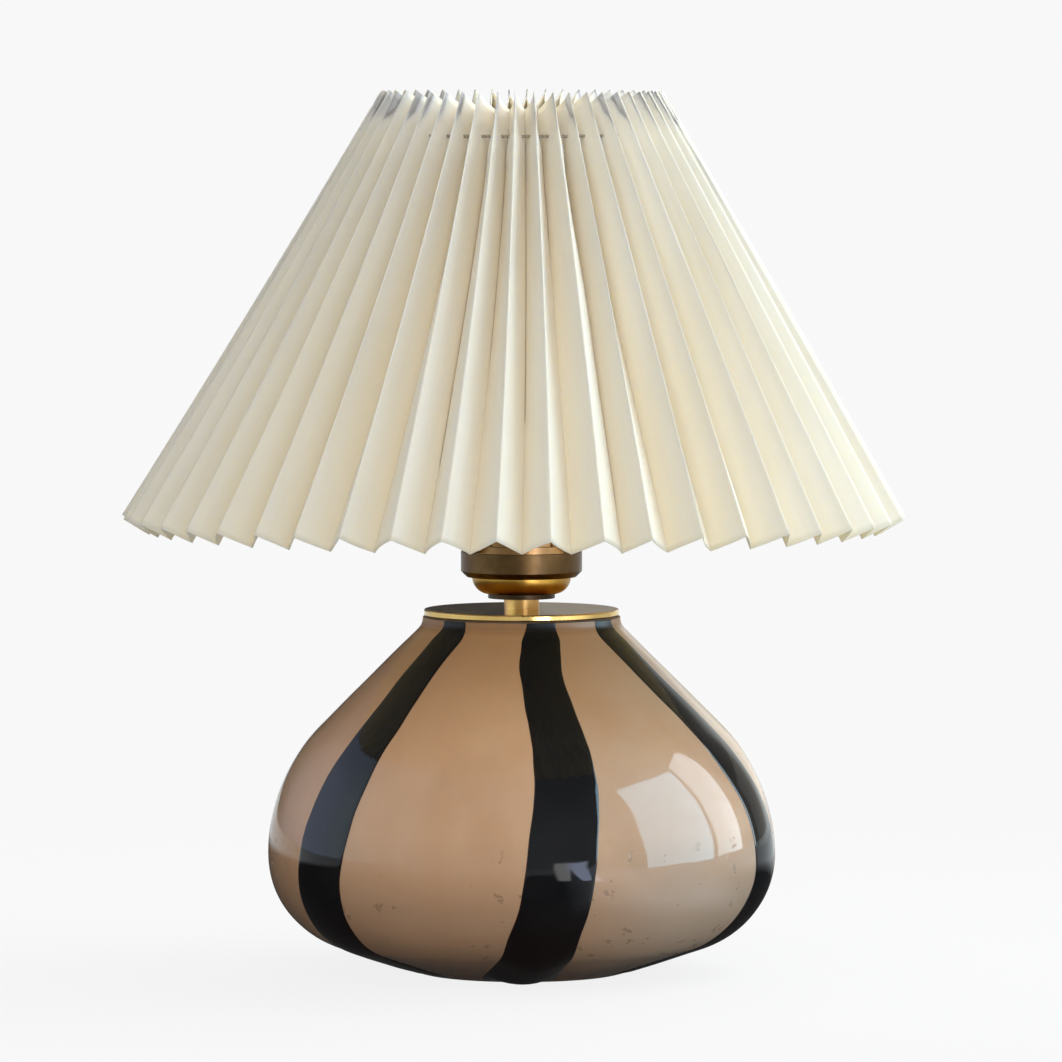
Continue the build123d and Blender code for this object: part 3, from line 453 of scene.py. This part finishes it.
FINISHES = (
    (BRASS, ("vase_cap",)),
    (STEM_BRASS, ("stem_tube",)),
    (AGED_BRASS, ("lampholder_cup",)),
    (DARK_BRASS, ("holder_band",)),
    (BROWN_BRASS, ("grip_ring", "lampholder_sleeve", "fitter_ring")),
    (BLACK_BRASS, ("stem_washer",)),
    (SATIN_BRASS, ("screw_shell", "centre_contact", "contact_rivets")),
    (SATIN_BRASS, ("terminal_blocks", "carrier_ring", "carrier_arms")),
    (ZINC, ("threaded_rod", "clamp_plate", "lock_washer", "rod_nut", "terminal_screws")),
    (NICKEL, ("bulb_cap", "bulb_button")),
    (RUBBER, ("cord_inlet_bush",)),
    (CORK, ("foot_gasket", "neck_gasket")),
    (PLASTIC, ("neck_bush",)),
    (CERAMIC, ("lampholder_core",)),
    (VITRITE, ("bulb_insulator",)),
    (OPAL, ("bulb_globe",)),
    (thread(), ("gathering_cord",)),
)
for finish, names in FINISHES:
    for name in names:
        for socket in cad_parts[name].material_slots:
            socket.material = finish


# Meshes


SHARP_ANGLE = math.radians(38)


def grid(name, rows, material, wrap_rows=False, caps=False, flat=None):
    """A mesh of quads through closed rows of points. flat gives each point's place laid flat."""
    count = len(rows[0])
    verts = [tuple(point) for row in rows for point in row]
    down = len(rows) if wrap_rows else len(rows) - 1
    faces = []
    for row in range(down):
        here, below = row * count, (row + 1) % len(rows) * count
        for column in range(count):
            after = (column + 1) % count
            faces.append((here + column, here + after, below + after, below + column))
    if caps:
        faces.append(tuple(range(count))[::-1])
        faces.append(tuple((len(rows) - 1) * count + column for column in range(count)))
    mesh = bpy.data.meshes.new(name)
    mesh.from_pydata(verts, [], faces)
    if flat:
        layer = mesh.uv_layers.new(name="flat")
        for number, polygon in enumerate(mesh.polygons[: down * count]):
            row, column = divmod(number, count)
            corners = ((row, column), (row, column + 1), (row + 1, column + 1), (row + 1, column))
            for loop, (line, step) in zip(polygon.loop_indices, corners):
                layer.data[loop].uv = flat(line, step)
    mesh.shade_smooth()
    mesh.set_sharp_from_angle(angle=SHARP_ANGLE)
    mesh.materials.append(material)
    made = bpy.data.objects.new(name, mesh)
    bpy.context.scene.collection.objects.link(made)
    return made


def facing(angle):
    """Unit normal in the plane of radius and height, tilted up by the angle."""
    return math.cos(angle), math.sin(angle)


def outline_runs():
    """Runs of the outline from the neck to the floor: length, and a function of the share along."""
    neck = (NECK_RADIUS + NECK_ARC, 0.0)
    shoulder = (BELLY_RADIUS - SHOULDER_ARC, BELLY_HEIGHT)
    underside = (BELLY_RADIUS - UNDERSIDE_ARC, BELLY_HEIGHT)
    out, up = facing(SHOULDER_TILT)
    reach = SHOULDER_ARC + NECK_ARC - (neck[0] - shoulder[0]) * out
    neck = (neck[0], shoulder[1] + reach / up)

    def arc(centre, radius, first, last):
        def place(share):
            tilt = lerp(first, last, share)
            across, rise = facing(tilt)
            return centre[0] + across * radius, centre[1] + rise * radius, tilt
        return abs(radius * (last - first)), place

    def line(start, end, tilt):
        def place(share):
            return lerp(start[0], end[0], share), lerp(start[1], end[1], share), tilt
        return math.hypot(end[0] - start[0], end[1] - start[1]), place

    neck_arc = arc(neck, -NECK_ARC, 0.0, SHOULDER_TILT)
    shoulder_arc = arc(shoulder, SHOULDER_ARC, SHOULDER_TILT, 0.0)
    underside_arc = arc(underside, UNDERSIDE_ARC, 0.0, UNDERSIDE_TILT)
    last = underside_arc[1](1.0)
    slope = math.tan(UNDERSIDE_TILT + math.pi / 2)
    top = (NECK_RADIUS, neck[1] + NECK_LIP)
    return [
        line(top, neck_arc[1](0.0), 0.0),
        neck_arc,
        line(neck_arc[1](1.0), shoulder_arc[1](0.0), SHOULDER_TILT),
        shoulder_arc,
        underside_arc,
        line(last, (last[0] - last[1] / slope, 0.0), UNDERSIDE_TILT),
    ]


RUNS = outline_runs()
RUN_TOTAL = sum(length for length, place in RUNS)
GLASS_TOP = RUNS[0][1](0.0)[1]
BELLY_PLACE = sum(length for length, place in RUNS[:4]) / RUN_TOTAL


def outline_at(share):
    """Radius, height and tilt at a share of the outline's length."""
    left = share * RUN_TOTAL
    for length, place in RUNS:
        if left <= length:
            return place(left / length)
        left -= length
    return RUNS[-1][1](1.0)


def wobble(x, y, z, share):
    """How far the blown surface stands off its true outline."""
    held = smooth(0.02, 0.10, share) * smooth(1.0, 0.93, share)
    slow = noise.noise(Vector((x, y, z)) * 22.0)
    fast = noise.noise(Vector((x + 3.0, y, z)) * 60.0)
    return held * WOBBLE * (slow + 0.35 * fast) * 2


def on_glass(share, angle, height=0.0):
    """A point at a height over the glass, at an angle from the front towards +X."""
    radius, z, tilt = outline_at(share)
    out, up = facing(tilt)
    side, front = math.sin(angle), -math.cos(angle)
    lift = height + wobble(radius * side, radius * front, z, share)
    return Vector(((radius + out * lift) * side, (radius + out * lift) * front, z + up * lift))


def glass_base():
    """Blown body: outside, rounded foot ring, pushed-up foot, and the inside wall."""
    rows, columns = 190, 240
    angles = [2 * math.pi * column / columns for column in range(columns)]
    outside = [[on_glass(row / rows, angle) for angle in angles] for row in range(rows)]
    foot = outline_at(1.0)[0]
    foot_inner = foot - FOOT_RING_WIDTH
    punt = foot_inner - PUNT_RISE_WIDTH
    section = [
        (foot + FOOT_EDGE * 0.3, FOOT_EDGE * 0.25),
        (foot - FOOT_EDGE * 0.4, 0.0),
        (foot_inner + FOOT_EDGE, 0.0),
        (foot_inner, FOOT_EDGE * 0.4),
        (lerp(foot_inner, punt, 0.25), lerp(0.0, PUNT_HEIGHT, 0.38)),
        (lerp(foot_inner, punt, 0.60), lerp(0.0, PUNT_HEIGHT, 0.82)),
        (punt, PUNT_HEIGHT),
        (ROD_HOLE, PUNT_HEIGHT),
        (ROD_HOLE, PUNT_HEIGHT + GLASS_WALL),
        (punt, PUNT_HEIGHT + GLASS_WALL),
        (foot_inner, FOOT_FLOOR),
    ]
    inside_rows, inside_end = 60, 0.965
    for row in range(inside_rows, -1, -1):
        share = inside_end * row / inside_rows
        radius, z, tilt = outline_at(share)
        out, up = facing(tilt)
        z_in = GLASS_TOP if share == 0 else z - up * GLASS_WALL
        section.append((radius - out * GLASS_WALL, max(z_in, FOOT_FLOOR)))
    lathe = [
        [Vector((radius * math.sin(angle), -radius * math.cos(angle), z)) for angle in angles]
        for radius, z in section
    ]
    return grid("glass_base", outside + lathe, tan_glass(), wrap_rows=True)


def through(values, place):
    """A smooth curve through evenly spaced values."""
    steps = len(values) - 1
    number = min(int(place * steps), steps - 1)
    share = place * steps - number
    first, last = values[number], values[number + 1]
    lead = (last - values[max(number - 1, 0)]) / 2
    trail = (values[min(number + 2, steps)] - first) / 2
    bend = share * (1 - share)
    return lerp(first, last, smooth(0, 1, share)) + bend * (lead * (1 - share) - trail * share)


def stripe_size(place, low_crown, foot_width):
    """Half width and crown of a stripe at a place down the glass."""
    if place < BELLY_PLACE:
        share = smooth(0.0, BELLY_PLACE, place)
        start = lerp(STRIPE_START, 1, smooth(0, STRIPE_START_PLACE, place))
        width = lerp(STRIPE_NECK_WIDTH, STRIPE_BELLY_WIDTH, share) * start
        return width / 2, lerp(STRIPE_NECK_CROWN, STRIPE_BELLY_CROWN, share)
    width = lerp(STRIPE_BELLY_WIDTH, foot_width, ((place - BELLY_PLACE) / (1 - BELLY_PLACE)) ** 2)
    crown = lerp(STRIPE_BELLY_CROWN, low_crown, smooth(BELLY_PLACE, STRIPE_LOW_PLACE, place))
    return width / 2, lerp(crown, STRIPE_FOOT_CROWN, smooth(STRIPE_LOW_PLACE, STRIPE_END, place))


def glass_stripe(number, angles, low_crown, foot_width, material):
    """One trail: a rounded band laid on the glass, its sides rolled down into it."""
    rows, half_steps = 170, 9
    lines = []
    for row in range(rows + 1):
        place = STRIPE_END * row / rows
        half, crown = stripe_size(place, low_crown, foot_width)
        radius = outline_at(place)[0]
        middle = math.radians(through(angles, place))
        sag = noise.noise(Vector((number * 7.0, place * 9.0, 0.0)))
        sag *= STRIPE_SAG * smooth(0.0, 0.15, place)
        ends = smooth(STRIPE_END, STRIPE_END - STRIPE_END_FADE, place)
        line = []
        for step in range(-half_steps, half_steps + 1):
            across = math.sin(step / half_steps * math.pi / 2)
            roll = math.sqrt(max(0.0, 1 - abs(across) ** STRIPE_EDGE_ROLL))
            height = (STRIPE_EDGE + (crown - STRIPE_EDGE) * (1 - across**2)) * roll * ends
            side = 1 if step > 0 else 2
            stray = noise.noise(Vector((number * 5.0 + side, place * 16.0, 1.0)))
            stray *= STRIPE_EDGE_STRAY * smooth(0.0, 0.1, place)
            offset = across * (half + stray) + sag
            lift = height - STRIPE_EDGE_SINK * (1 - roll)
            line.append(on_glass(place, middle + offset / radius, lift))
        for across in (0.86, 0.0, -0.86):
            line.append(on_glass(place, middle + (across * half + sag) / radius, -STRIPE_ROOT))
        lines.append(line)

    def flat(row, column):
        return min(column / half_steps - 1, 1.0), row / rows

    return grid(f"glass_trail_{number + 1}", lines, material, caps=True, flat=flat)


base = glass_base()
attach(base, "base")
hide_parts("glass_body")

glass = [base]
black = black_glass()
for number, (angles, low_crown, foot_width) in enumerate(STRIPES):
    trail = glass_stripe(number, angles, low_crown, foot_width, black)
    glass.append(trail)
    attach(trail, "base")
    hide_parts("glass_stripes")


# Shade


def fold_ends():
    """Radius, height and depth of the folds at the top edge and at the hem."""
    ends = []
    for radius, z in (SHADE_TOP, SHADE_BOTTOM):
        half_gap = radius * math.sin(math.pi / PLEATS)
        ends.append((radius, z, math.sqrt(PLEAT_WIDTH**2 - half_gap**2)))
    return ends


def pleated_sheet():
    """The folded sheet: soft creases, walls that bow a little, and a pinch at the thread."""
    dice = random.Random(11)
    top, hem = fold_ends()
    slant = math.hypot(hem[0] - top[0], top[1] - hem[1])
    lean = math.atan2(hem[0] - top[0], top[1] - hem[1])
    rows = 72
    steps = (0.0, 0.022, 0.06, 0.16, 0.3, 0.44, 0.56, 0.7, 0.84, 0.94)
    gather = GATHER_DROP / math.cos(lean) / slant
    folds = [
        {
            "turn": [dice.uniform(-0.007, 0.007), dice.uniform(-0.006, 0.006)],
            "valley": [dice.uniform(-0.010, 0.010), dice.uniform(-0.007, 0.007)],
            "out": dice.uniform(-0.0009, 0.0006),
            "bow": [dice.uniform(-0.0010, 0.0012) for wall in range(2)],
            "wave": dice.uniform(0.0, 20.0),
        }
        for number in range(PLEATS)
    ]

    def corner(number, share, valley):
        fold = folds[number % PLEATS]
        kind = "valley" if valley else "turn"
        pull = lerp(fold[kind][0], fold[kind][1], share)
        angle = 2 * math.pi * (number + (0.5 if valley else 0.0)) / PLEATS + pull + SHADE_TURN
        radius = lerp(top[0], hem[0], share)
        z = lerp(top[1], hem[1], share)
        depth = lerp(top[2], hem[2], share) if valley else 0.0
        loose = 0.0 if valley else fold["out"] * share**2
        inward = depth + (-CREASE_TIP if valley else CREASE_TIP) - loose
        return Vector((radius - inward * math.cos(lean), angle, z - inward * math.sin(lean)))

    lines = []
    for row in range(rows + 1):
        share = row / rows
        sway = HEM_SWAY * share**2
        line = []
        for number in range(PLEATS):
            fold = folds[number]
            for wall in range(2):
                first = corner(number, share, wall == 1)
                last = corner(number + wall, share, wall == 0)
                wave = WALL_WAVE * noise.noise(
                    Vector((number * 3.1 + wall, share * 3.0, fold["wave"]))
                )
                flare = TOP_FLARE * smooth(gather + 0.02, gather - 0.06, share)
                pinch = THREAD_PINCH * math.exp(-(((share - gather) / THREAD_PINCH_REACH) ** 2))
                bow = fold["bow"][wall] * smooth(0.0, 0.5, share) + wave + flare - pinch
                side = -1 if wall == 0 else 1
                for place in steps:
                    radius, angle, z = first.lerp(last, place)
                    angle += side * 4 * place * (1 - place) * bow / radius
                    side_place = radius * math.sin(angle) + sway
                    line.append(Vector((side_place, -radius * math.cos(angle), z)))
        lines.append(line)

    def flat(row, column):
        wall, step = divmod(column, len(steps))
        return (wall + steps[step]) * PLEAT_WIDTH, row / rows * slant

    made = grid("shade_cloth", lines, shade_cloth(), flat=flat)
    made.data.set_sharp_from_angle(angle=math.pi)
    thick = made.modifiers.new("thickness", "SOLIDIFY")
    thick.thickness = SHEET_THICKNESS
    thick.offset = 0.0
    return made, (2 * PLEATS * PLEAT_WIDTH, slant)


shade, flat_size = pleated_sheet()
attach(shade, "shade")
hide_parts("pleated_shade")


# Camera, floor and light


def look_from(lens, place, tilt):
    """The camera, level from side to side and tilted down by some degrees."""
    data = bpy.data.cameras.new("camera")
    data.lens = lens
    data.sensor_width = 36.0
    data.clip_end = 100.0
    made = bpy.data.objects.new("camera", data)
    bpy.context.scene.collection.objects.link(made)
    made.location = place
    made.rotation_euler = (math.radians(90 - tilt), 0, 0)
    bpy.context.scene.camera = made


look_from(288.14, (0.00363, -3.245, 0.3697), 3.54)

PALE = (0.94, 0.94, 0.94, 1.0)
FILL = 0.2

# Floor: where the shadow near the lamp fades out, and how much of it shows
FLOOR_SIDE = 8.0
SHADOW_REACH = (0.60, 0.15)
SHADOW_SHARE = 0.09
FLOOR_BOUNCE = (0.50, 0.49, 0.47, 1.0)

# What gloss sees of the table: dark near the lamp, bright further out and at the right
TABLE_REACH = (0.55, 0.75)
TABLE_NEAR = (0.04, 0.04, 0.04)
TABLE_FAR = (0.72, 0.78, 0.80)
TABLE_WINDOW = (1.90, 2.10, 2.30)
RIGHT_STRIP = (math.radians(75), math.radians(165), 0.3)
RIGHT_STRIP_REACH = 0.28
LIT_STRIP = (math.radians(30), math.radians(80), 0.25)
LIT_RADII = (0.11, 0.15)

# The small window in front: its angles, its foot on the table, and the dark point in it
PANE = (math.radians(15), math.radians(33))
PANE_GREY = (4.6, 4.6, 4.6)
PANE_BLUE = (6.2, 7.0, 9.4)
PANE_RADII = (0.34, 0.36)
POINT_TURN = math.radians(23.3)
POINT_WIDTH = 0.0187
POINT_INSET = 0.004

# Brightness of the room's walls for gloss, by the angle from the front towards +X
WALLS = (
    (-180, (0.05, 0.05, 0.05)),
    (-157, (0.10, 0.10, 0.10)),
    (-150, (0.17, 0.19, 0.23)),
    (-125, (0.75, 0.88, 1.18)),
    (-105, (1.20, 1.40, 1.90)),
    (-88, (1.45, 1.80, 2.05)),
    (-52, (1.25, 1.65, 1.80)),
    (-42, (0.52, 0.56, 0.57)),
    (45, (0.54, 0.55, 0.55)),
    (60, (0.55, 0.55, 0.54)),
    (126, (0.60, 0.60, 0.55)),
    (132, (0.22, 0.21, 0.18)),
    (149, (0.28, 0.26, 0.22)),
    (155, (0.80, 0.85, 0.85)),
    (166, (1.15, 1.12, 1.00)),
    (173, (0.20, 0.20, 0.18)),
    (180, (0.05, 0.05, 0.05)),
)


def low_window(g, turn):
    """A small window in front, low down at the right: where it is, and its colour."""
    pane = g.within(turn, *PANE, 0.02)
    return pane, g.ramp(g.span(turn, *PANE), (0.3, PANE_GREY), (0.6, PANE_BLUE))


def shown(g):
    """Whether a ray comes from the eye, through glass too, and whether it comes from gloss."""
    rays = g.node("LightPath")
    seen = g.math("MAXIMUM", rays.outputs["Is Camera Ray"], rays.outputs["Is Transmission Ray"])
    return seen, rays.outputs["Is Glossy Ray"]


def mirrored_table(g):
    """Colour of the table for gloss, with the window's lower part and a dark point in it."""
    radius = g.rings()[0]
    turn = g.turn()
    strip = g.within(turn, *RIGHT_STRIP)
    reach = g.math("MULTIPLY_ADD", strip, RIGHT_STRIP_REACH, radius)
    table = g.ramp(g.span(reach, *TABLE_REACH), (0.0, TABLE_NEAR), (1.0, TABLE_FAR))
    lit = g.math("MULTIPLY", g.within(turn, *LIT_STRIP), g.span(radius, *LIT_RADII))
    table = g.mix(lit, table, TABLE_WINDOW)
    pane, glow = low_window(g, turn)
    spread = g.math("SUBTRACT", g.math("DIVIDE", POINT_WIDTH, radius), POINT_INSET)
    aside = g.math("ABSOLUTE", g.math("SUBTRACT", turn, POINT_TURN))
    outside_point = g.span(g.math("SUBTRACT", aside, spread), -0.008, 0.008)
    pane = g.math("MULTIPLY", g.math("MULTIPLY", pane, outside_point), g.span(radius, *PANE_RADII))
    return g.mix(pane, table, glow)


def floor():
    """Pale floor: fades to plain white away from the lamp. Gloss sees a dark table instead."""
    g = Graph(bpy.data.materials.new("pale_floor"))
    radius = g.rings()[0]
    plain = g.node("Emission", {"Color": PALE, "Strength": 1.0}).outputs[0]
    lit = g.node("BsdfDiffuse", {"Color": (0.80, 0.80, 0.80, 1.0)}).outputs[0]
    shadow = g.span(radius, *SHADOW_REACH, 0.0, SHADOW_SHARE)
    eye = g.node("MixShader", {0: shadow, 1: plain, 2: lit}).outputs[0]
    mirror = g.node("Emission", {"Color": mirrored_table(g), "Strength": 1.0}).outputs[0]
    bounce = g.node("BsdfDiffuse", {"Color": FLOOR_BOUNCE}).outputs[0]
    seen, glossy = shown(g)
    surface = g.node("MixShader", {0: glossy, 1: bounce, 2: mirror}).outputs[0]
    surface = g.node("MixShader", {0: seen, 1: surface, 2: eye}).outputs[0]
    g.tree.links.new(surface, g.tree.nodes["Material Output"].inputs["Surface"])
    mesh = bpy.data.meshes.new("floor")
    corners = ((-1, -1), (1, -1), (1, 1), (-1, 1))
    points = [(x * FLOOR_SIDE, y * FLOOR_SIDE, 0) for x, y in corners]
    mesh.from_pydata(points, [], [(0, 1, 2, 3)])
    mesh.materials.append(g.owner)
    made = bpy.data.objects.new("floor", mesh)
    bpy.context.scene.collection.objects.link(made)


def room():
    """White to the eye. Gloss sees walls, bright at the left, and a small window in front."""
    g = Graph(bpy.data.worlds.new("room"), "Generated")
    bpy.context.scene.world = g.owner
    turn = g.turn()
    rise = g.axis(2)
    stops = [((degrees + 180) / 360, colour) for degrees, colour in WALLS]
    walls = g.ramp(g.span(turn, -math.pi, math.pi), *stops)
    walls = g.mix(g.span(rise, 0.45, 0.85, 0.0, 0.65), walls, (0.0, 0.0, 0.0))
    pane, glow = low_window(g, turn)
    walls = g.mix(g.math("MULTIPLY", pane, g.span(rise, 0.06, 0.05)), walls, glow)
    gloss = g.node("Background", {"Color": walls, "Strength": 1.0}).outputs[0]
    fill = g.node("Background", {"Color": (1.0, 0.985, 0.96, 1.0), "Strength": FILL}).outputs[0]
    plain = g.node("Background", {"Color": PALE, "Strength": 1.0}).outputs[0]
    seen, glossy = shown(g)
    surface = g.node("MixShader", {0: glossy, 1: fill, 2: gloss}).outputs[0]
    surface = g.node("MixShader", {0: seen, 1: surface, 2: plain}).outputs[0]
    g.tree.links.new(surface, g.tree.nodes["World Output"].inputs["Surface"])


LAMP_MIDDLE = 0.16


def area_light(name, size, level, colour):
    data = bpy.data.lights.new(name, "AREA")
    data.shape = "RECTANGLE"
    data.size, data.size_y = size
    data.energy = level * math.pi * size[0] * size[1]
    data.color = colour
    made = bpy.data.objects.new(name, data)
    bpy.context.scene.collection.objects.link(made)
    made.visible_camera = False
    return made


def soft_light(name, turn, distance, height, size, level, colour):
    """A lamp that faces the middle of the object, unseen by the camera and by gloss."""
    made = area_light(name, size, level, colour)
    turn = math.radians(turn)
    made.location = (distance * math.sin(turn), -distance * math.cos(turn), height)
    aim = Vector((0, 0, LAMP_MIDDLE)) - made.location
    made.rotation_euler = aim.to_track_quat("-Z", "Y").to_euler()
    made.visible_glossy = False


def mirror_light(name, turn, distance, size, height, level, colour, shown_on=()):
    """An upright pane of light that shows in gloss alone, of the named pieces where any are."""
    made = area_light(name, size, level, colour)
    turn = math.radians(turn)
    made.location = (distance * math.sin(turn), -distance * math.cos(turn), height)
    made.rotation_euler = (math.radians(90), 0, turn)
    made.visible_diffuse = False
    if shown_on:
        pieces = bpy.data.collections.new(name + "_shown_on")
        for piece in shown_on:
            pieces.objects.link(piece)
        made.light_linking.receiver_collection = pieces


floor()
room()
soft_light("window", 95, 1.7, 0.75, (2.2, 1.4), 2.55, (0.68, 0.91, 1.0))
soft_light("right_high", 110, 1.2, 1.6, (1.6, 1.2), 4.6, (0.97, 0.99, 1.0))
soft_light("left_fill", -70, 1.7, 0.6, (1.4, 1.2), 0.35, (1.0, 0.98, 0.95))
soft_light("low_front", 5, 2.2, 0.35, (1.8, 0.7), 2.2, (1.0, 0.99, 0.97))
soft_light("high_front", -5, 1.8, 1.4, (1.6, 1.0), 2.65, (0.98, 1.0, 0.98))
soft_light("above", 0, 0.02, 2.1, (1.0, 1.0), 2.3, (1.0, 0.98, 0.88))
soft_light("behind", 170, 1.6, 1.0, (1.6, 1.2), 2.5, (1.0, 1.0, 1.0))
mirror_light("window_glare", 75.7, 1.7, (1.25, 1.62), 0.83, 10.8, (0.46, 0.79, 1.0), glass)
mirror_light("window_side", 108.5, 1.72, (0.60, 1.62), 0.83, 7.2, (0.75, 0.90, 1.0), glass)
mirror_light("back_wall", 155.2, 1.43, (1.32, 0.5), 0.25, 0.29, (0.80, 0.80, 0.76))

bpy.context.scene.view_settings.view_transform = "Standard"
